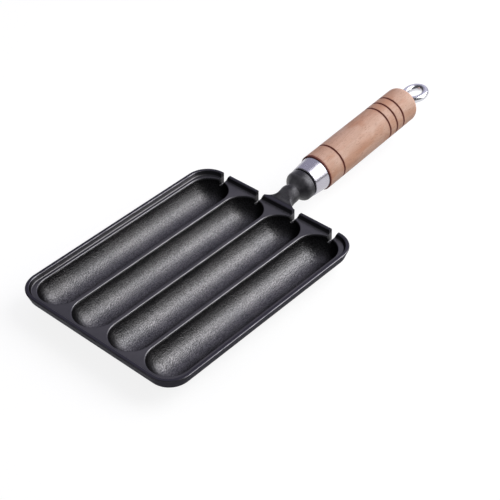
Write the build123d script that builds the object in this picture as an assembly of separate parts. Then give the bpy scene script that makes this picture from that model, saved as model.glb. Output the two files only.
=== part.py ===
from build123d import *
import math
import os

# Cast-iron pan with four long troughs for cooking sausages on sticks, a neck and a round boss,
# a steel ferrule, a turned wooden handle and a bolt that ends in a hanging eye.
# Millimetres. +X runs along the length towards the handle, +Z is up. The origin is the middle of
# the overall length, on the centre line, at the level of the surface the pan rests on.

# Overall size of the pan
pan_length = 178.8
pan_width = 140.0
pan_corner_radius = 17.0

# Rim, ledge and plate
rim_height = 2.9            # rim top above the ledge
lip_width = 2.4             # flat top of the rim
inner_wall_run = 1.4        # how far the wall inside the rim leans out over its height
plate_thickness = 5.0       # ledge down to the foot of the skirt
skirt_inset = 2.9           # how far the skirt leans in from rim top to foot
rim_edge_radius = 0.7
foot_edge_radius = 1.0      # where the skirt turns under
inner_root_radius = 0.8

# Troughs
trough_count = 4
trough_land = 2.9           # flat crest between two troughs
trough_margin = 5.9         # pan edge to trough edge, at the ends
trough_side_margin = 5.95   # pan edge to trough edge, at the sides
trough_depth = 13.0
trough_wall = 2.5
trough_edge_radius = 0.8
foot_flat = 0.3             # taken off the crown of each trough so the pan sits flat

# Stick notches in the rim at the handle end
notch_top_width = 6.4
notch_depth = 6.9           # below the rim top
notch_side_slope = 0.3      # sideways run per unit of height
notch_floor_radius = 0.9

# Handle axis, measured where it passes the handle-end edge of the pan
axis_above_ledge = 1.94
axis_tilt = 4.55            # degrees, handle end up

# Neck between rim and boss
neck_root_half_width = 12.6
neck_half_width = 6.8
neck_flare_length = 6.6
neck_top_rise = 6.16        # top of the neck above the handle axis, at the boss
neck_drop = 7.44            # underside of the neck below the handle axis, at the boss
neck_root_edge_radius = 0.9
neck_roundness = 0.98       # edge radius at the boss, as a share of the half width
neck_ramp_length = 10.0     # the top climbs over this length
neck_flare_power = 2.4
neck_flare_sections = 4

# Stations along the handle axis, from the handle-end edge of the pan
boss_start = 13.6           # where the boss leaves the neck
boss_middle = 17.0          # half way up the face towards the neck
neck_end = 17.0             # inside the boss
boss_barrel = 21.4          # full radius from here on
boss_lip = 25.3             # end of the full radius
boss_face = 26.4            # the ferrule seats here
ferrule_length = 12.4
handle_length = 103.8
eye_gap = 1.2               # wood end to the outside of the eye

# Boss
boss_root_radius = 5.9
boss_middle_radius = 8.3
boss_radius = 11.1
boss_edge_radius = 0.7
boss_seat_radius = 10.0
boss_start_run = (0.3, 1)   # directions of the outline, radius then station
boss_middle_run = (0.8, 1)
boss_barrel_run = (0, 1)

# Ferrule
ferrule_small_radius = 11.5
ferrule_large_radius = 12.8
ferrule_wall = 1.0
ferrule_floor = 1.2
ferrule_edge_radius = 0.6

# Wooden handle
handle_radius = 13.7
handle_end_radius = 13.5
handle_end_rounding = 5.7
shoulder_chamfer = 0.4
groove_width = 1.1
groove_depth = 0.55
first_groove = 15.75        # from the shoulder
end_groove = 18.9           # last ring, from the wood end
end_groove_pitch = 7.9
end_groove_count = 3

# Eye bolt
rod_radius = 2.6
eye_half_length = 8.8       # centre line of the oval
eye_half_width = 6.85
eye_turn = -6.0             # degrees about the handle axis
thread_length = 14.0        # rod inside the boss

# Clearances
seat_gap = 0.05             # between seated cast, steel and wooden faces
bore_clearance = 0.3        # rod in the wood and in the ferrule floor, radial
thread_clearance = 0.05     # rod in the boss, radial
blind_end = 1.5             # hole in the boss beyond the end of the rod
overcut = 2.0               # how far a cutter runs past the face it opens

# How closely an edge has to lie to be picked for rounding
level_tolerance = 0.01
reach_tolerance = 0.1

# Levels and positions that follow from the sizes above
ledge_z = trough_depth + trough_wall - foot_flat
trough_pitch = (pan_width - 2 * trough_side_margin + trough_land) / trough_count
trough_half_width = (trough_pitch - trough_land) / 2
trough_half_length = pan_length / 2 - trough_margin
ferrule_end = boss_face + seat_gap + ferrule_length
shoulder = ferrule_end + seat_gap
wood_end = shoulder + handle_length
eye_centre = wood_end + eye_gap + rod_radius + eye_half_length
eye_tip = eye_centre + eye_half_length + rod_radius
overall_length = pan_length + eye_tip * math.cos(math.radians(axis_tilt))
pan_x = (pan_length - overall_length) / 2
pan_end_x = pan_x + pan_length / 2


def axis_height(x):
    """Height of the handle axis above the ledge, x measured from the pan's handle-end edge."""
    return axis_above_ledge + x * math.tan(math.radians(axis_tilt))


# Frame with its Z along the handle axis and its X upwards
tilt = math.radians(axis_tilt)
handle_plane = Plane(
    origin=(pan_end_x, 0, ledge_z + axis_above_ledge),
    x_dir=(-math.sin(tilt), 0, math.cos(tilt)),
    z_dir=(math.cos(tilt), 0, math.sin(tilt)),
)


def turned(face):
    """Revolve a profile drawn with radius in X and station in Z, and put it on the handle axis."""
    return handle_plane.location * revolve(face, Axis.Z)


def trough_body(wall):
    """One trough grown by a wall: a round bar with ball ends, cut off level at its mouth, Z = 0.

    A trough deeper than its half width gets upright sides above the bar.
    """
    rounded = trough_depth
    if trough_depth > trough_half_width:
        # The upright sides are tall enough for the rounding at the mouth.
        rounded = min(trough_half_width, trough_depth - 2 * trough_edge_radius)
    radius = (trough_half_width**2 + rounded**2) / (2 * rounded)
    straight = trough_half_length - trough_half_width
    reach = radius + wall
    with BuildLine(Plane.XZ) as outline:
        Line((straight + reach, 0), (-straight - reach, 0))
        RadiusArc((-straight - reach, 0), (-straight, -reach), -reach)
        Line((-straight, -reach), (straight, -reach))
        RadiusArc((straight, -reach), (straight + reach, 0), -reach)
    bar = revolve(make_face(outline.edges()), Axis.X)
    above = Box(
        2 * pan_length, 4 * reach, 2 * reach, align=(Align.CENTER, Align.CENTER, Align.MIN)
    )
    body = Pos(0, 0, radius - rounded) * bar - above
    if rounded < trough_depth:
        mouth = body.faces().sort_by(Axis.Z)[-1]
        body = body + extrude(mouth, amount=trough_depth - rounded, dir=(0, 0, 1))
    return Pos(0, 0, rounded - trough_depth) * body


def trough_places():
    first = -(trough_count - 1) / 2 * trough_pitch
    return [Pos(pan_x, first + i * trough_pitch, ledge_z) for i in range(trough_count)]


def plate():
    """Rimmed plate: a rounded slab whose skirt leans in towards its foot."""
    height = rim_height + plate_thickness
    lean = math.atan2(skirt_inset, height)
    # Rounding the top edge of a leaning skirt takes this much off each side.
    edge_loss = rim_edge_radius * ((1 + math.sin(lean)) / math.cos(lean) - 1)
    top = Pos(pan_x, 0, ledge_z + rim_height) * RectangleRounded(
        pan_length + 2 * edge_loss, pan_width + 2 * edge_loss, pan_corner_radius + edge_loss
    )
    slab = extrude(top, amount=height, dir=(0, 0, -1), taper=math.degrees(lean))
    slab = fillet(slab.faces().sort_by(Axis.Z)[-1].edges(), rim_edge_radius)
    return fillet(slab.faces().sort_by(Axis.Z)[0].edges(), foot_edge_radius)


def pocket():
    """Space inside the rim, above the ledge."""
    inset = lip_width + inner_wall_run
    bottom = Pos(pan_x, 0, ledge_z) * RectangleRounded(
        pan_length - 2 * inset, pan_width - 2 * inset, pan_corner_radius - inset
    )
    lean = math.degrees(math.atan2(inner_wall_run, rim_height))
    return extrude(bottom, amount=rim_height, dir=(0, 0, 1), taper=-lean)


def notch():
    """One stick notch, cut from outside the rim into the end wall of the trough."""
    bottom_half = notch_top_width / 2 - notch_side_slope * notch_depth
    top_half = notch_top_width / 2 + notch_side_slope * overcut
    start = pan_end_x - trough_margin - (trough_half_width - notch_top_width / 2) / 2
    section = Plane(origin=(start, 0, ledge_z + rim_height), x_dir=(0, 1, 0), z_dir=(1, 0, 0))
    outline = Polyline(
        (-top_half, overcut),
        (-bottom_half, -notch_depth),
        (bottom_half, -notch_depth),
        (top_half, overcut),
        close=True,
    )
    face = fillet(
        make_face(outline).vertices().sort_by(Axis.Y)[:2],
        notch_floor_radius,
    )
    return extrude(section * face, amount=pan_end_x + overcut - start)


def neck_section(x):
    """Rounded section of the neck, x measured from the pan's handle-end edge."""
    flare = max(0.0, 1 - x / neck_flare_length) ** neck_flare_power
    half_width = neck_half_width + (neck_root_half_width - neck_half_width) * flare
    ramp = min(1.0, x / neck_ramp_length)
    ramp = ramp * ramp * (3 - 2 * ramp)
    top_end = axis_height(neck_end) + neck_top_rise
    top = rim_height + (top_end - rim_height) * ramp
    low_end = axis_height(neck_end) - neck_drop
    low = -plate_thickness + (low_end + plate_thickness) * x / neck_end
    edge_radius = neck_roundness * min(neck_half_width, (top_end - low_end) / 2)
    radius = neck_root_edge_radius + (edge_radius - neck_root_edge_radius) * ramp
    plane = Plane(origin=(x, 0, (top + low) / 2), x_dir=(0, 1, 0), z_dir=(1, 0, 0))
    return plane * RectangleRounded(2 * half_width, top - low, radius)


def neck():
    """Web from the rim to the boss: flared at the rim, rounded along its edges."""
    steps = range(neck_flare_sections + 1)
    stations = [neck_flare_length * i / neck_flare_sections for i in steps]
    stations += [(neck_flare_length + neck_end) / 2, neck_end]
    web = loft([neck_section(x) for x in stations])
    root = extrude(neck_section(0), amount=skirt_inset, dir=(-1, 0, 0))
    return Pos(pan_end_x, 0, ledge_z) * (web + root)


def boss():
    """Round collar with a narrower seat for the ferrule and a sloping face towards the neck."""
    lip_radius = boss_radius - boss_edge_radius
    with BuildLine(Plane.XZ) as outline:
        Line((0, boss_start), (boss_root_radius, boss_start))
        Spline(
            (boss_root_radius, boss_start),
            (boss_middle_radius, boss_middle),
            tangents=(boss_start_run, boss_middle_run),
        )
        Spline(
            (boss_middle_radius, boss_middle),
            (boss_radius, boss_barrel),
            tangents=(boss_middle_run, boss_barrel_run),
        )
        Line((boss_radius, boss_barrel), (boss_radius, boss_lip - boss_edge_radius))
        ThreePointArc(
            (boss_radius, boss_lip - boss_edge_radius),
            (
                boss_radius - boss_edge_radius * (1 - math.sqrt(0.5)),
                boss_lip - boss_edge_radius * (1 - math.sqrt(0.5)),
            ),
            (lip_radius, boss_lip),
        )
        Line((lip_radius, boss_lip), (boss_seat_radius, boss_lip))
        Line((boss_seat_radius, boss_lip), (boss_seat_radius, boss_face))
        Line((boss_seat_radius, boss_face), (0, boss_face))
        Line((0, boss_face), (0, boss_start))
    return turned(make_face(outline.edges()))


def threaded_hole():
    """Blind hole in the boss for the end of the eye bolt."""
    depth = thread_length + blind_end
    hole = Cylinder(
        rod_radius + thread_clearance,
        depth + overcut,
        align=(Align.CENTER, Align.CENTER, Align.MIN),
    )
    return handle_plane.location * Pos(0, 0, boss_face - depth) * hole


def is_level(edge, z):
    box = edge.bounding_box()
    return abs(box.min.Z - z) < level_tolerance and abs(box.max.Z - z) < level_tolerance


def is_trough_mouth(edge):
    """True for the edges at ledge level that go round a trough."""
    box = edge.bounding_box()
    reach_x = trough_half_length + reach_tolerance
    reach_y = (trough_count * trough_pitch - trough_land) / 2 + reach_tolerance
    return (
        is_level(edge, ledge_z)
        and box.min.X > pan_x - reach_x
        and box.max.X < pan_x + reach_x
        and box.min.Y > -reach_y
        and box.max.Y < reach_y
    )


def is_inner_lip(edge):
    """True for the edges at rim level that go round the pocket."""
    box = edge.bounding_box()
    reach_x = pan_length / 2 - lip_width + reach_tolerance
    reach_y = pan_width / 2 - lip_width + reach_tolerance
    return (
        is_level(edge, ledge_z + rim_height)
        and box.min.X > pan_x - reach_x
        and box.max.X < pan_x + reach_x
        and box.min.Y > -reach_y
        and box.max.Y < reach_y
    )


def pan():
    body = plate()
    outer = trough_body(trough_wall)
    for place in trough_places():
        body = body + place * outer
    body = body + (neck() + boss())
    below = Box(
        overall_length, pan_width, 2 * ledge_z, align=(Align.CENTER, Align.CENTER, Align.MAX)
    )
    body = body - below - pocket()
    body = fillet([edge for edge in body.edges() if is_inner_lip(edge)], rim_edge_radius)
    body = fillet([edge for edge in body.edges() if is_level(edge, ledge_z)], inner_root_radius)
    inner = trough_body(0)
    for place in trough_places():
        body = body - place * inner
    body = fillet([edge for edge in body.edges() if is_trough_mouth(edge)], trough_edge_radius)
    cutter = notch()
    for place in trough_places():
        body = body - Pos(0, place.position.Y, 0) * cutter
    return body - threaded_hole()


def ferrule():
    """Thin steel cup, wider towards the wood, with a hole for the rod in its floor."""
    start = boss_face + seat_gap
    hole = rod_radius + bore_clearance
    taper = (ferrule_large_radius - ferrule_small_radius) / ferrule_length
    floor_radius = ferrule_small_radius + taper * ferrule_floor - ferrule_wall
    outline = Plane.XZ * Polyline(
        (ferrule_small_radius, start),
        (ferrule_large_radius, ferrule_end),
        (ferrule_large_radius - ferrule_wall, ferrule_end),
        (floor_radius, start + ferrule_floor),
        (hole, start + ferrule_floor),
        (hole, start),
        close=True,
    )
    section = make_face(outline)
    corner = section.vertices().sort_by_distance((ferrule_small_radius, 0, start))[0]
    return turned(fillet(corner, ferrule_edge_radius))


def groove_stations():
    last = wood_end - end_groove
    rings = [last - i * end_groove_pitch for i in range(end_groove_count)]
    return [shoulder + first_groove] + rings


def handle_surface(station):
    """Radius of the grip at a station, which narrows evenly towards the end."""
    share = (station - shoulder) / handle_length
    return handle_radius + (handle_end_radius - handle_radius) * share


def handle():
    """Turned grip with a tapered spigot that fills the ferrule."""
    bore = rod_radius + bore_clearance
    taper = (ferrule_large_radius - ferrule_small_radius) / ferrule_length
    spigot_start = boss_face + 2 * seat_gap + ferrule_floor
    spigot_small = ferrule_small_radius + taper * ferrule_floor - ferrule_wall - seat_gap
    spigot_large = ferrule_large_radius - ferrule_wall - seat_gap
    with BuildLine(Plane.XZ) as outline:
        Polyline(
            (bore, wood_end),
            (bore, spigot_start),
            (spigot_small, spigot_start),
            (spigot_large, shoulder),
            (handle_radius - shoulder_chamfer, shoulder),
            (handle_radius, shoulder + shoulder_chamfer),
            (handle_end_radius, wood_end - handle_end_rounding),
        )
        ThreePointArc(
            (handle_end_radius, wood_end - handle_end_rounding),
            (
                handle_end_radius - handle_end_rounding * (1 - math.sqrt(0.5)),
                wood_end - handle_end_rounding * (1 - math.sqrt(0.5)),
            ),
            (handle_end_radius - handle_end_rounding, wood_end),
        )
        Line((handle_end_radius - handle_end_rounding, wood_end), (bore, wood_end))
    section = make_face(outline.edges())
    for station in groove_stations():
        surface = handle_surface(station)
        ring = Plane.XZ * Polyline(
            (surface + groove_depth, station - groove_width),
            (surface - groove_depth, station),
            (surface + groove_depth, station + groove_width),
            close=True,
        )
        section = section - make_face(ring)
    return turned(section)


def eye_bolt():
    """Steel rod from the boss through the wood, ending in a flat oval eye."""
    path = Rot(0, 0, eye_turn) * Plane.YZ * Ellipse(eye_half_width, eye_half_length)
    loop_path = Pos(0, 0, eye_centre) * path.edges()[0]
    start = loop_path @ 0
    profile = Plane(origin=start, z_dir=loop_path % 0) * Circle(rod_radius)
    eye = sweep(profile, path=loop_path)
    rod_start = boss_face - thread_length
    rod_end = eye_centre - eye_half_length
    rod = Pos(0, 0, rod_start) * Cylinder(
        rod_radius, rod_end - rod_start, align=(Align.CENTER, Align.CENTER, Align.MIN)
    )
    return handle_plane.location * (rod + eye)


os.makedirs("parts", exist_ok=True)
export_step(pan(), "parts/pan.step")
export_step(ferrule(), "parts/ferrule.step")
export_step(handle(), "parts/handle.step")
export_step(eye_bolt(), "parts/eye_bolt.step")
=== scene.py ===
import math

import bpy
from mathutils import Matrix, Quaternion, Vector

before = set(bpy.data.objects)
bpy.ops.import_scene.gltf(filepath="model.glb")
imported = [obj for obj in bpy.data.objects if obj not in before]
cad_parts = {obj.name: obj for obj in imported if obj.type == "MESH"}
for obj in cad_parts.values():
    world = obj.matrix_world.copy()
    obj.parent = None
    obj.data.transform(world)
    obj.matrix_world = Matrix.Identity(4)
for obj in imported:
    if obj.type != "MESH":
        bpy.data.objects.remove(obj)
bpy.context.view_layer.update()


# ---- Pan ----------------------------------------------------------------------------------------
# One iron casting poured in a sand mould, with its neck and boss, and seasoned with baked-on oil
# that leaves a satin black skin on the cooking side. Sand grain shows most inside the troughs.
# It is the base that the ferrule, the handle and the eye bolt are fixed to.

def node(tree, kind, **settings):
    """Add a shader node with its settings."""
    made = tree.nodes.new(kind)
    for name, value in settings.items():
        setattr(made, name, value)
    return made


def feed(tree, socket, value):
    """Join a value to a socket, or set it there when it is a plain number, colour or vector."""
    if isinstance(value, bpy.types.NodeSocket):
        tree.links.new(value, socket)
    else:
        socket.default_value = value


def maths(tree, operation, first, second=0.0):
    """Two values joined by an operation such as ADD or MAXIMUM."""
    made = node(tree, "ShaderNodeMath", operation=operation)
    feed(tree, made.inputs[0], first)
    feed(tree, made.inputs[1], second)
    return made.outputs[0]


def spread(tree, value, low, high, to_low=0.0, to_high=1.0, smooth=False):
    """Stretch a value that varies over a surface from one range to another."""
    made = node(tree, "ShaderNodeMapRange")
    if smooth:
        made.interpolation_type = "SMOOTHSTEP"
    for name, number in (
        ("From Min", low), ("From Max", high), ("To Min", to_low), ("To Max", to_high)
    ):
        made.inputs[name].default_value = number
    feed(tree, made.inputs["Value"], value)
    return made.outputs["Result"]


def parts_of(tree, vector):
    """The X, Y and Z of a place or a direction."""
    made = node(tree, "ShaderNodeSeparateXYZ")
    feed(tree, made.inputs[0], vector)
    return made.outputs


def scaled(tree, place, scale):
    """Squeeze or stretch a pattern along its axes before it is drawn."""
    made = node(tree, "ShaderNodeVectorMath", operation="MULTIPLY")
    feed(tree, made.inputs[0], place)
    made.inputs[1].default_value = scale
    return made.outputs[0]


def times(tree, vector, factor):
    """A colour or a place multiplied by one value that varies over the surface."""
    made = node(tree, "ShaderNodeVectorMath", operation="SCALE")
    feed(tree, made.inputs[0], vector)
    feed(tree, made.inputs["Scale"], factor)
    return made.outputs[0]


def noise(tree, place, scale, detail=2.0, roughness=0.5, distortion=0.0):
    """An uneven cloud of values about 0.5."""
    made = node(tree, "ShaderNodeTexNoise")
    for name, number in (
        ("Scale", scale), ("Detail", detail), ("Roughness", roughness), ("Distortion", distortion)
    ):
        made.inputs[name].default_value = number
    feed(tree, made.inputs["Vector"], place)
    return made.outputs["Fac"]


def pits(tree, place, scale, size):
    """Small round hollows: 1 at the middle of each and 0 outside its size, as a share of a cell."""
    made = node(tree, "ShaderNodeTexVoronoi")
    made.inputs["Scale"].default_value = scale
    feed(tree, made.inputs["Vector"], place)
    return spread(tree, made.outputs["Distance"], 0, size, 1, 0, smooth=True)


def blend(tree, share, first, second):
    """The first colour where the share is 0 and the second where it is 1."""
    made = node(tree, "ShaderNodeMix", data_type="RGBA")
    feed(tree, made.inputs[0], share)
    feed(tree, made.inputs[6], first)
    feed(tree, made.inputs[7], second)
    return made.outputs[2]


def bump(tree, height, distance, under=None):
    """Raise the surface by a height of 0 to 1 times a distance in metres."""
    made = node(tree, "ShaderNodeBump")
    made.inputs["Distance"].default_value = distance
    feed(tree, made.inputs["Height"], height)
    if under is not None:
        feed(tree, made.inputs["Normal"], under)
    return made.outputs["Normal"]


def new_finish(name):
    """A new material with its node tree and its Principled shader."""
    material = bpy.data.materials.new(name)
    material.use_nodes = True
    return material, material.node_tree, material.node_tree.nodes["Principled BSDF"]


def show(piece, material):
    """Give a piece its finish."""
    piece.data.materials.clear()
    piece.data.materials.append(material)


LEDGE_Z = 0.0152                            # the flats round the troughs, above the table
RIM_TOP_Z = 0.0181
BED_Z = LEDGE_Z - 0.0126                    # just over the deepest line of a trough
WALL_Z = LEDGE_Z - 0.0070                   # where a trough's round bed has become its wall
PAN_END_X = 0.006313                        # the rim's outer face at the handle end
MOUTH_ROUNDING = 0.0008
RIM_ROUNDING = 0.0007
COOKING_SKIN = (0.087, 0.086, 0.089, 1)
COOKING_SKIN_WARM = (0.112, 0.109, 0.111, 1)
RIM_SKIN = (0.054, 0.052, 0.061, 1)
# painted shade on the rim's upright faces
RIM_WALL_PAINTED_SHADE = (0.030, 0.029, 0.033, 1)
NECK_SKIN = (0.019, 0.018, 0.021, 1)
# painted shade on faces that look down
UNDER_PAINTED_SHADE = (0.034, 0.033, 0.037, 1)
# partly wear and partly painted highlight on the rounded edges
WORN_AND_HIGHLIGHT_SKIN = (0.128, 0.125, 0.135, 1)
SKIN_GLOSS = 0.56
GRAZING_TINT = (0.45, 0.45, 0.47, 1)        # dull soot where the skin is seen edge on
BED_PAINTED_HIGHLIGHT = 1.34                             # painted highlight: the beds of the troughs are drawn brighter than the flats
TROUGH_WALL_PAINTED_SHADE = 0.45                            # painted shade: their walls are drawn darker
SPECKLE = 0.42                              # how much the sand grain changes the shine
GRIT_SCALE, GRIT_HEIGHT = 1150, 0.00029     # the sand grain: patterns per metre, and metres
SKIN_SCALE, SKIN_HEIGHT = 420, 0.00005
WAVE_SCALE, WAVE_HEIGHT = 45, 0.00025
HOLLOW_SCALE, HOLLOW_SIZE, HOLLOW_DEPTH = 170, 0.09, 0.00008
MOTTLE_SCALE = 55
RUBBING_SCALE = 120
NECK_GRIT, FLAT_GRIT = 0.6, 0.15            # the sand grain there, as a share of the troughs'

iron, tree, shader = new_finish("seasoned_iron")
place = node(tree, "ShaderNodeTexCoord").outputs["Object"]
at = parts_of(tree, place)
facing = parts_of(tree, node(tree, "ShaderNodeNewGeometry").outputs["Normal"])

in_troughs = maths(
    tree, "MULTIPLY",
    spread(tree, at["Z"], LEDGE_Z - 0.0012, LEDGE_Z - 0.0006, 1, 0),
    spread(tree, at["X"], PAN_END_X - 0.0055, PAN_END_X - 0.0035, 1, 0),
)
on_neck = spread(tree, at["X"], PAN_END_X - 0.0005, PAN_END_X + 0.0020, smooth=True)
on_rim = spread(tree, at["Z"], LEDGE_Z + 0.0004, LEDGE_Z + 0.0024, smooth=True)
# Painted shade: faces that look down are drawn darker.
underneath_painted_shade = spread(tree, facing["Z"], -0.28, -0.05, 1, 0, smooth=True)

# Painted shade: the rim's upright faces are drawn darker than the flats.
rim_wall_painted_shade_mask = maths(
    tree, "MULTIPLY",
    spread(tree, facing["Z"], 0.25, 0.60, 1, 0),
    spread(tree, at["Z"], LEDGE_Z + 0.0002, LEDGE_Z + 0.0006),
)

# The rounded edges where the surface turns, at the mouths of the troughs and along the top of the
# rim, which hands
# and tools rub: drawn lighter and smoother, partly as wear and partly as a painted highlight.
turning = maths(
    tree, "MULTIPLY",
    spread(tree, facing["Z"], 0.98, 0.86),
    spread(tree, facing["Z"], 0.15, 0.45),
)
at_mouths = maths(
    tree, "MULTIPLY",
    spread(tree, at["Z"], LEDGE_Z - MOUTH_ROUNDING, LEDGE_Z - 0.5 * MOUTH_ROUNDING),
    spread(tree, at["Z"], LEDGE_Z + 0.0001, LEDGE_Z + 0.0003, 1, 0),
)
at_rim_top = spread(tree, at["Z"], RIM_TOP_Z - RIM_ROUNDING, RIM_TOP_Z - 0.5 * RIM_ROUNDING)
wear_and_painted_highlight = maths(
    tree, "MULTIPLY",
    maths(tree, "MULTIPLY", turning, maths(tree, "MAXIMUM", at_mouths, at_rim_top)),
    spread(tree, noise(tree, place, RUBBING_SCALE, 4, 0.6), 0.35, 0.6, 0.25, 1),
)

mottle = noise(tree, place, MOTTLE_SCALE, 4, 0.6)
grit = noise(tree, place, GRIT_SCALE, 1, 0.6)
skin = noise(tree, place, SKIN_SCALE, 3, 0.6)
waves = noise(tree, place, WAVE_SCALE, 2)
hollows = maths(
    tree, "MULTIPLY",
    pits(tree, place, HOLLOW_SCALE, HOLLOW_SIZE),
    spread(tree, noise(tree, place, 90, 1), 0.48, 0.58),
)
colour = blend(tree, spread(tree, mottle, 0.35, 0.70), COOKING_SKIN, COOKING_SKIN_WARM)
# Inside the troughs the sand grain varies the colour, a painted highlight brightens the beds and
# painted shade darkens the walls.
grain_and_painted_light = maths(
    tree, "MULTIPLY",
    spread(tree, grit, 0.3, 0.7, 1 - SPECKLE, 1 + SPECKLE),
    spread(tree, at["Z"], BED_Z, WALL_Z, BED_PAINTED_HIGHLIGHT, TROUGH_WALL_PAINTED_SHADE, smooth=True),
)
colour = blend(tree, in_troughs, colour, times(tree, colour, grain_and_painted_light))
for mask, tone in (
    (on_rim, RIM_SKIN),
    (rim_wall_painted_shade_mask, RIM_WALL_PAINTED_SHADE),
    (on_neck, NECK_SKIN),
    (underneath_painted_shade, UNDER_PAINTED_SHADE),
    (wear_and_painted_highlight, WORN_AND_HIGHLIGHT_SKIN),
):
    colour = blend(tree, mask, colour, tone)
feed(tree, shader.inputs["Base Color"], colour)
feed(tree, shader.inputs["Metallic"], maths(tree, "SUBTRACT", 1.0, on_neck))
shader.inputs["Specular IOR Level"].default_value = SKIN_GLOSS
shader.inputs["Specular Tint"].default_value = GRAZING_TINT

satin = maths(
    tree, "ADD",
    spread(tree, mottle, 0.3, 0.7, 0.35, 0.40),
    spread(tree, skin, 0.3, 0.7, -0.03, 0.03),
)
satin = maths(tree, "SUBTRACT", satin, maths(tree, "MULTIPLY", wear_and_painted_highlight, 0.08))
satin = maths(tree, "ADD", satin, maths(tree, "MULTIPLY", hollows, 0.2))
satin = maths(tree, "ADD", satin, maths(tree, "MULTIPLY", on_neck, 0.05))
feed(tree, shader.inputs["Roughness"], satin)

sandy = maths(tree, "MAXIMUM", in_troughs, maths(tree, "MULTIPLY", on_neck, NECK_GRIT))
sandy = maths(tree, "MAXIMUM", sandy, FLAT_GRIT)
normal = bump(tree, waves, WAVE_HEIGHT)
normal = bump(tree, skin, SKIN_HEIGHT, normal)
normal = bump(tree, maths(tree, "MULTIPLY", grit, sandy), GRIT_HEIGHT, normal)
normal = bump(tree, maths(tree, "SUBTRACT", 1.0, hollows), HOLLOW_DEPTH, normal)
feed(tree, shader.inputs["Normal"], normal)
show(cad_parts["pan"], iron)

# ---- Ferrule ------------------------------------------------------------------------------------
# A cup spun from thin stainless sheet and polished on the lathe, so faint rings run round it.
# It is pushed on to the end of the wood and held between the wood and the boss.

def effect(name, inputs, outputs):
    """A node group that several finishes share; gives its tree, what goes in and what comes out."""
    made = bpy.data.node_groups.new(name, "ShaderNodeTree")
    for label, kind, value in inputs:
        socket = made.interface.new_socket(label, in_out="INPUT", socket_type=kind)
        if value is not None:
            socket.default_value = value
    for label, kind in outputs:
        made.interface.new_socket(label, in_out="OUTPUT", socket_type=kind)
    return made, node(made, "NodeGroupInput").outputs, node(made, "NodeGroupOutput").inputs


def use(tree, group, **values):
    """Place a shared effect in a finish, and give what comes out of it."""
    made = node(tree, "ShaderNodeGroup", node_tree=group)
    for name, value in values.items():
        feed(tree, made.inputs[name], value)
    return made.outputs


AXIS_START = (0.006313, 0.0, 0.01714)       # where the handle's axis leaves the pan
AXIS_TILT = math.radians(4.55)


def along_handle(tree):
    """Object coordinates turned so that X is the station along the handle, in metres."""
    made = node(tree, "ShaderNodeMapping", vector_type="TEXTURE")
    made.inputs["Location"].default_value = AXIS_START
    made.inputs["Rotation"].default_value = (0, -AXIS_TILT, 0)
    feed(tree, made.inputs["Vector"], node(tree, "ShaderNodeTexCoord").outputs["Object"])
    return made.outputs[0]


# Rings left by a tool or a polishing belt while the piece turns: fine along X, even round it.
LATHE_STRETCH = (2600, 50, 50)
lathe_rings, given, made = effect(
    "lathe_rings",
    [("Place", "NodeSocketVector", None), ("Fineness", "NodeSocketFloat", 1.0)],
    [("Height", "NodeSocketFloat")],
)
sized = times(lathe_rings, given["Place"], given["Fineness"])
turned = noise(lathe_rings, scaled(lathe_rings, sized, LATHE_STRETCH), 1, 2, 0.6)
feed(lathe_rings, made["Height"], turned)

# Handling: hazy patches, and thin scratches that cross each other.
HAZE_SCALE = 130
SCRATCHES_ALONG = (500, 2600, 500)
SCRATCHES_ACROSS = (1900, 300, 1900)
handling, given, made = effect(
    "handling_marks",
    [("Place", "NodeSocketVector", None)],
    [("Haze", "NodeSocketFloat"), ("Scratches", "NodeSocketFloat")],
)
patches = noise(handling, given["Place"], HAZE_SCALE, 4, 0.6, 0.6)
feed(handling, made["Haze"], spread(handling, patches, 0.35, 0.7))
one_way = noise(handling, scaled(handling, given["Place"], SCRATCHES_ALONG), 1, 1, 0.5, 0.4)
other_way = noise(handling, scaled(handling, given["Place"], SCRATCHES_ACROSS), 1, 1, 0.5, 0.4)
crossing = maths(
    handling, "MAXIMUM",
    spread(handling, one_way, 0.62, 0.70), spread(handling, other_way, 0.64, 0.72),
)
feed(handling, made["Scratches"], crossing)

STEEL = (0.49, 0.475, 0.525, 1)
STEEL_DULL = (0.45, 0.44, 0.48, 1)
FERRULE_START = 0.02645                     # stations along the handle's axis
FERRULE_END = 0.03885
FERRULE_RING_HEIGHT = 0.0000008

steel, tree, shader = new_finish("polished_steel")
place = along_handle(tree)
station = parts_of(tree, place)["X"]
marks = use(tree, handling, Place=place)
rings = use(tree, lathe_rings, Place=place, Fineness=1.0)["Height"]
near_ends = maths(
    tree, "MAXIMUM",
    spread(tree, station, FERRULE_START + 0.0004, FERRULE_START + 0.0014, 1, 0, smooth=True),
    spread(tree, station, FERRULE_END - 0.0012, FERRULE_END - 0.0002, 0, 1, smooth=True),
)
dull = maths(
    tree, "MAXIMUM",
    maths(tree, "MULTIPLY", marks["Haze"], 0.5), maths(tree, "MULTIPLY", near_ends, 0.8),
)
feed(tree, shader.inputs["Base Color"], blend(tree, dull, STEEL, STEEL_DULL))
shader.inputs["Metallic"].default_value = 1.0
polish = maths(
    tree, "ADD",
    spread(tree, rings, 0.3, 0.7, 0.235, 0.255),
    maths(tree, "MULTIPLY", maths(tree, "MAXIMUM", dull, marks["Scratches"]), 0.03),
)
feed(tree, shader.inputs["Roughness"], polish)
feed(tree, shader.inputs["Normal"], bump(tree, rings, FERRULE_RING_HEIGHT))
show(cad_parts["ferrule"], steel)

# ---- Handle -------------------------------------------------------------------------------------
# Beech turned on a lathe and sanded, with a thin dull lacquer. The four rings are burnt dark with a
# wire while it turns, and the wood is drawn darker at its edge by the ferrule. The eye bolt's rod
# runs through its bore.

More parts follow.
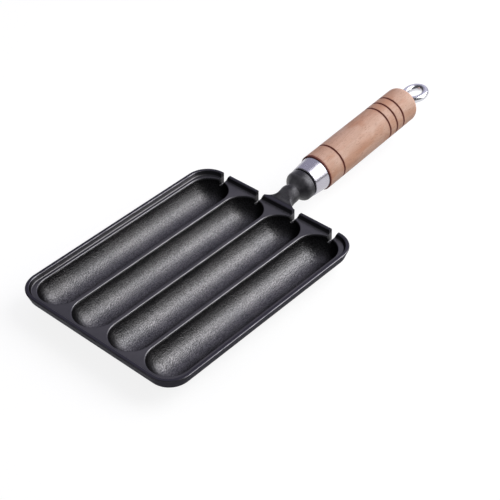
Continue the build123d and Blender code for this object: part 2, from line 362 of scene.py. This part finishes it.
SHOULDER = 0.03890                          # stations along the handle's axis
BURNT_RINGS = (0.05465, 0.10800, 0.11590, 0.12380)
RING_HALF_WIDTH = 0.00072
RING_WAVER = 0.00012
BEECH = (0.575, 0.335, 0.238, 1)
BEECH_PALE = (0.620, 0.398, 0.300, 1)
BEECH_PINK = (0.515, 0.248, 0.148, 1)
LATE_WOOD = (0.430, 0.235, 0.150, 1)
FLECK = (0.330, 0.165, 0.100, 1)
CHAR = (0.135, 0.020, 0.012, 1)
SCORCH = (0.360, 0.130, 0.075, 1)
DARK_EDGE_LEAN = (0.0, 0.031, 0.025)           # the darker edge by the ferrule is wider on one side
PITH = (0.0, 0.034, -0.026)                 # the heart of the tree, outside the handle
PITH_TILT = (0, 0.035, 0.05)
GROWTH_SCALE = 120
DRIFT_WAY = (0.0, 1.0, 0.7)                 # the growth rings wander this way
DRIFT = 0.0035                              # and this far
DRIFT_STRETCH = (9, 40, 40)                 # all of the wood's patterns are long along the grain
CLOUD_STRETCH = (22, 60, 60)
WARM_STRETCH = (30, 75, 75)
FIBRE_STRETCH = (60, 1500, 1500)
PORE_STRETCH = (420, 2900, 2900)
RAY_STRETCH = (330, 1500, 1500)
FIBRE_HEIGHT = 0.00004
TOOL_RING_HEIGHT = 0.000012
PORE_DEPTH = 0.00003
LACQUER_GLOSS = 0.5

beech, tree, shader = new_finish("beech")
place = along_handle(tree)
station = parts_of(tree, place)["X"]

# The blank was sawn off-centre, so the growth rings are wide arcs about a pith outside the handle.
drift = noise(tree, scaled(tree, place, DRIFT_STRETCH), 1, 2)
drift = spread(tree, drift, 0.25, 0.75, -DRIFT, DRIFT)
bent = node(tree, "ShaderNodeVectorMath", operation="ADD")
feed(tree, bent.inputs[0], place)
feed(tree, bent.inputs[1], times(tree, DRIFT_WAY, drift))
pith = node(tree, "ShaderNodeMapping", vector_type="TEXTURE")
pith.inputs["Location"].default_value = PITH
pith.inputs["Rotation"].default_value = PITH_TILT
feed(tree, pith.inputs["Vector"], bent.outputs[0])
growth = node(
    tree, "ShaderNodeTexWave", wave_type="RINGS", rings_direction="X", wave_profile="SAW"
)
growth.inputs["Scale"].default_value = GROWTH_SCALE
feed(tree, growth.inputs["Vector"], pith.outputs[0])
late_wood = spread(tree, growth.outputs["Fac"], 0.55, 1.0, smooth=True)

cloud = noise(tree, scaled(tree, place, CLOUD_STRETCH), 1, 3, 0.55)
warm = noise(tree, scaled(tree, place, WARM_STRETCH), 1.3, 2, 0.5, 0.5)
fibre = noise(tree, scaled(tree, place, FIBRE_STRETCH), 1, 3, 0.6)
pores = noise(tree, scaled(tree, place, PORE_STRETCH), 1, 1, 0.5)
rays = noise(tree, scaled(tree, place, RAY_STRETCH), 1, 1, 0.5)
flecks = spread(tree, rays, 0.64, 0.72)
pore_lines = spread(tree, pores, 0.58, 0.70)

wood = blend(tree, spread(tree, cloud, 0.36, 0.66), BEECH, BEECH_PALE)
for share, tone in (
    (maths(tree, "MULTIPLY", spread(tree, warm, 0.46, 0.66), 0.90), BEECH_PINK),
    (maths(tree, "MULTIPLY", late_wood, 0.24), LATE_WOOD),
    (spread(tree, fibre, 0.35, 0.75, 0, 0.24), LATE_WOOD),
    (maths(tree, "MULTIPLY", pore_lines, 0.36), FLECK),
    (maths(tree, "MULTIPLY", flecks, 0.55), FLECK),
):
    wood = blend(tree, share, wood, tone)

# Burnt lines have soft, slightly uneven edges and a faint brown halo. The edge at the ferrule is
# drawn darker too, in a band that leans.
unevenness = spread(tree, noise(tree, place, 350, 2), 0.3, 0.7, -RING_WAVER, RING_WAVER)
wavering = maths(tree, "ADD", station, unevenness)
lean = node(tree, "ShaderNodeVectorMath", operation="DOT_PRODUCT")
feed(tree, lean.inputs[0], place)
lean.inputs[1].default_value = DARK_EDGE_LEAN
edge = maths(tree, "SUBTRACT", wavering, lean.outputs["Value"])
dark_band = spread(tree, edge, SHOULDER + 0.0011, SHOULDER + 0.0016, 1, 0)
halo = spread(tree, edge, SHOULDER + 0.0013, SHOULDER + 0.0034, 1, 0, smooth=True)
for ring in BURNT_RINGS:
    away = maths(tree, "ABSOLUTE", maths(tree, "SUBTRACT", wavering, ring))
    line = spread(tree, away, RING_HALF_WIDTH, RING_HALF_WIDTH + 0.00022, 1, 0)
    glow = spread(tree, away, RING_HALF_WIDTH, RING_HALF_WIDTH + 0.0012, 1, 0, smooth=True)
    dark_band = maths(tree, "MAXIMUM", dark_band, line)
    halo = maths(tree, "MAXIMUM", halo, glow)
wood = blend(tree, maths(tree, "MULTIPLY", halo, 0.35), wood, SCORCH)
wood = blend(tree, maths(tree, "MULTIPLY", dark_band, 0.94), wood, CHAR)
feed(tree, shader.inputs["Base Color"], wood)

marks = use(tree, handling, Place=place)
matt = spread(tree, fibre, 0.3, 0.7, 0.50, 0.60)
matt = maths(tree, "SUBTRACT", matt, maths(tree, "MULTIPLY", marks["Haze"], 0.06))
matt = maths(tree, "ADD", matt, maths(tree, "MULTIPLY", dark_band, 0.2))
feed(tree, shader.inputs["Roughness"], matt)
shader.inputs["Specular IOR Level"].default_value = LACQUER_GLOSS

rings = use(tree, lathe_rings, Place=place, Fineness=0.5)["Height"]
open_grain = maths(tree, "MAXIMUM", pore_lines, flecks)
normal = bump(tree, fibre, FIBRE_HEIGHT)
normal = bump(tree, rings, TOOL_RING_HEIGHT, normal)
normal = bump(tree, maths(tree, "SUBTRACT", 1.0, open_grain), PORE_DEPTH, normal)
feed(tree, shader.inputs["Normal"], normal)
show(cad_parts["handle"], beech)

# ---- Eye bolt -----------------------------------------------------------------------------------
# A steel rod bent round and welded into a closed eye, threaded at its other end and chromed.
# It passes through the handle and the ferrule, screws into the boss and clamps them all together.

CHROME = (0.66, 0.66, 0.695, 1)
CHROME_HAZE = (0.60, 0.60, 0.64, 1)
RIPPLE_SCALE, RIPPLE_HEIGHT = 260, 0.000006

plated, tree, shader = new_finish("bright_plating")
place = along_handle(tree)
marks = use(tree, handling, Place=place)
hazed = maths(tree, "MULTIPLY", marks["Haze"], 0.6)
feed(tree, shader.inputs["Base Color"], blend(tree, hazed, CHROME, CHROME_HAZE))
shader.inputs["Metallic"].default_value = 1.0
polish = maths(
    tree, "ADD",
    spread(tree, hazed, 0, 1, 0.21, 0.27),
    maths(tree, "MULTIPLY", marks["Scratches"], 0.08),
)
feed(tree, shader.inputs["Roughness"], polish)
ripple = noise(tree, place, RIPPLE_SCALE, 2)
feed(tree, shader.inputs["Normal"], bump(tree, ripple, RIPPLE_HEIGHT))
show(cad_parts["eye_bolt"], plated)

# ---- Floor --------------------------------------------------------------------------------------
# A plain white studio sweep of matt card that the pan lies on. It isn't part of the object.
# Its own glow keeps it white, and the pan's soft shadow stays on it.

FLOOR_SIZE = 40
FLOOR_GREY = (0.20, 0.20, 0.20, 1)
FLOOR_GLOW = 0.85

bpy.ops.mesh.primitive_plane_add(size=FLOOR_SIZE)
floor = bpy.context.object
floor.name = "floor"
sweep = bpy.data.materials.new("white_sweep")
sweep.use_nodes = True
tree = sweep.node_tree
tree.nodes.clear()
matt_white = node(tree, "ShaderNodeBsdfDiffuse")
matt_white.inputs["Color"].default_value = FLOOR_GREY
glow = node(tree, "ShaderNodeEmission")
ray = node(tree, "ShaderNodeLightPath").outputs
seen = maths(
    tree, "ADD",
    maths(tree, "ADD", ray["Is Camera Ray"], ray["Is Glossy Ray"]), ray["Is Transmission Ray"],
)
feed(tree, glow.inputs["Strength"], maths(tree, "MULTIPLY", seen, FLOOR_GLOW))
both = node(tree, "ShaderNodeAddShader")
feed(tree, both.inputs[0], matt_white.outputs[0])
feed(tree, both.inputs[1], glow.outputs[0])
feed(tree, node(tree, "ShaderNodeOutputMaterial").inputs["Surface"], both.outputs[0])
floor.data.materials.append(sweep)

# ---- Light --------------------------------------------------------------------------------------
# A large softbox over the right of the pan, a smaller panel low on the same side, a weak fill
# from the other side and a pale lilac backdrop beyond the handle, in an otherwise dim room.

ROOM = (0.10, 0.10, 0.11, 1)
BACKDROP = (0.80, 0.775, 0.96, 1)
BACKDROP_WAY = (0.75, 0.42, 0.51)

room = bpy.data.worlds.new("studio")
bpy.context.scene.world = room
room.use_nodes = True
tree = room.node_tree
sky = tree.nodes["Background"]
sky.inputs["Strength"].default_value = 1
towards = node(tree, "ShaderNodeVectorMath", operation="DOT_PRODUCT")
towards.inputs[1].default_value = BACKDROP_WAY
feed(tree, towards.inputs[0], node(tree, "ShaderNodeTexCoord").outputs["Generated"])
paper = maths(
    tree, "ADD",
    spread(tree, towards.outputs["Value"], 0.50, 0.80, 0, 0.58, smooth=True),
    spread(tree, towards.outputs["Value"], 0.90, 0.98, 0, 0.42, smooth=True),
)
feed(tree, sky.inputs["Color"], blend(tree, paper, ROOM, BACKDROP))


def softbox(name, direction, distance, width, height, brightness, mirrored=True):
    """A flat lamp that faces the middle of the object; sizes in metres."""
    data = bpy.data.lights.new(name, "AREA")
    data.shape = "RECTANGLE"
    data.size = width
    data.size_y = height
    data.energy = brightness * math.pi * width * height
    lamp = bpy.data.objects.new(name, data)
    bpy.context.scene.collection.objects.link(lamp)
    direction = Vector(direction).normalized()
    lamp.location = direction * distance
    lamp.rotation_mode = "QUATERNION"
    lamp.rotation_quaternion = direction.to_track_quat("Z", "Y")
    lamp.visible_glossy = mirrored


softbox(
    "key", direction=(0.57, -0.41, 0.715), distance=1.3,
    width=1.05, height=1.05, brightness=4.3,
)
softbox(
    "side_panel", direction=(0.56, -0.72, 0.41), distance=1.3,
    width=0.55, height=0.55, brightness=4.6,
)
softbox(
    "fill", direction=(-0.60, 0.60, 0.53), distance=1.6,
    width=1.6, height=1.2, brightness=0.48, mirrored=False,
)

# ---- Camera -------------------------------------------------------------------------------------
# Stands in front and to the left of the pan and looks down on it, as in the photograph.
# Its place, turn and lens were fitted to the pan's outline; angles are in degrees.

LENS, SENSOR = 95.209, 36
CAMERA_PLACE = (-0.53952, -0.47432, 0.57011)
AZIMUTH, ELEVATION, ROLL = (math.radians(angle) for angle in (-47.328, 39.455, -1.382))

camera_data = bpy.data.cameras.new("photo")
camera = bpy.data.objects.new("photo", camera_data)
bpy.context.scene.collection.objects.link(camera)
camera_data.sensor_width = SENSOR
camera_data.lens = LENS
camera.location = CAMERA_PLACE
ahead = Vector((
    -math.sin(AZIMUTH) * math.cos(ELEVATION),
    math.cos(AZIMUTH) * math.cos(ELEVATION),
    -math.sin(ELEVATION),
))
camera.rotation_mode = "QUATERNION"
camera.rotation_quaternion = ahead.to_track_quat("-Z", "Y") @ Quaternion((0, 0, 1), ROLL)
bpy.context.scene.camera = camera
bpy.context.scene.view_settings.view_transform = "Standard"
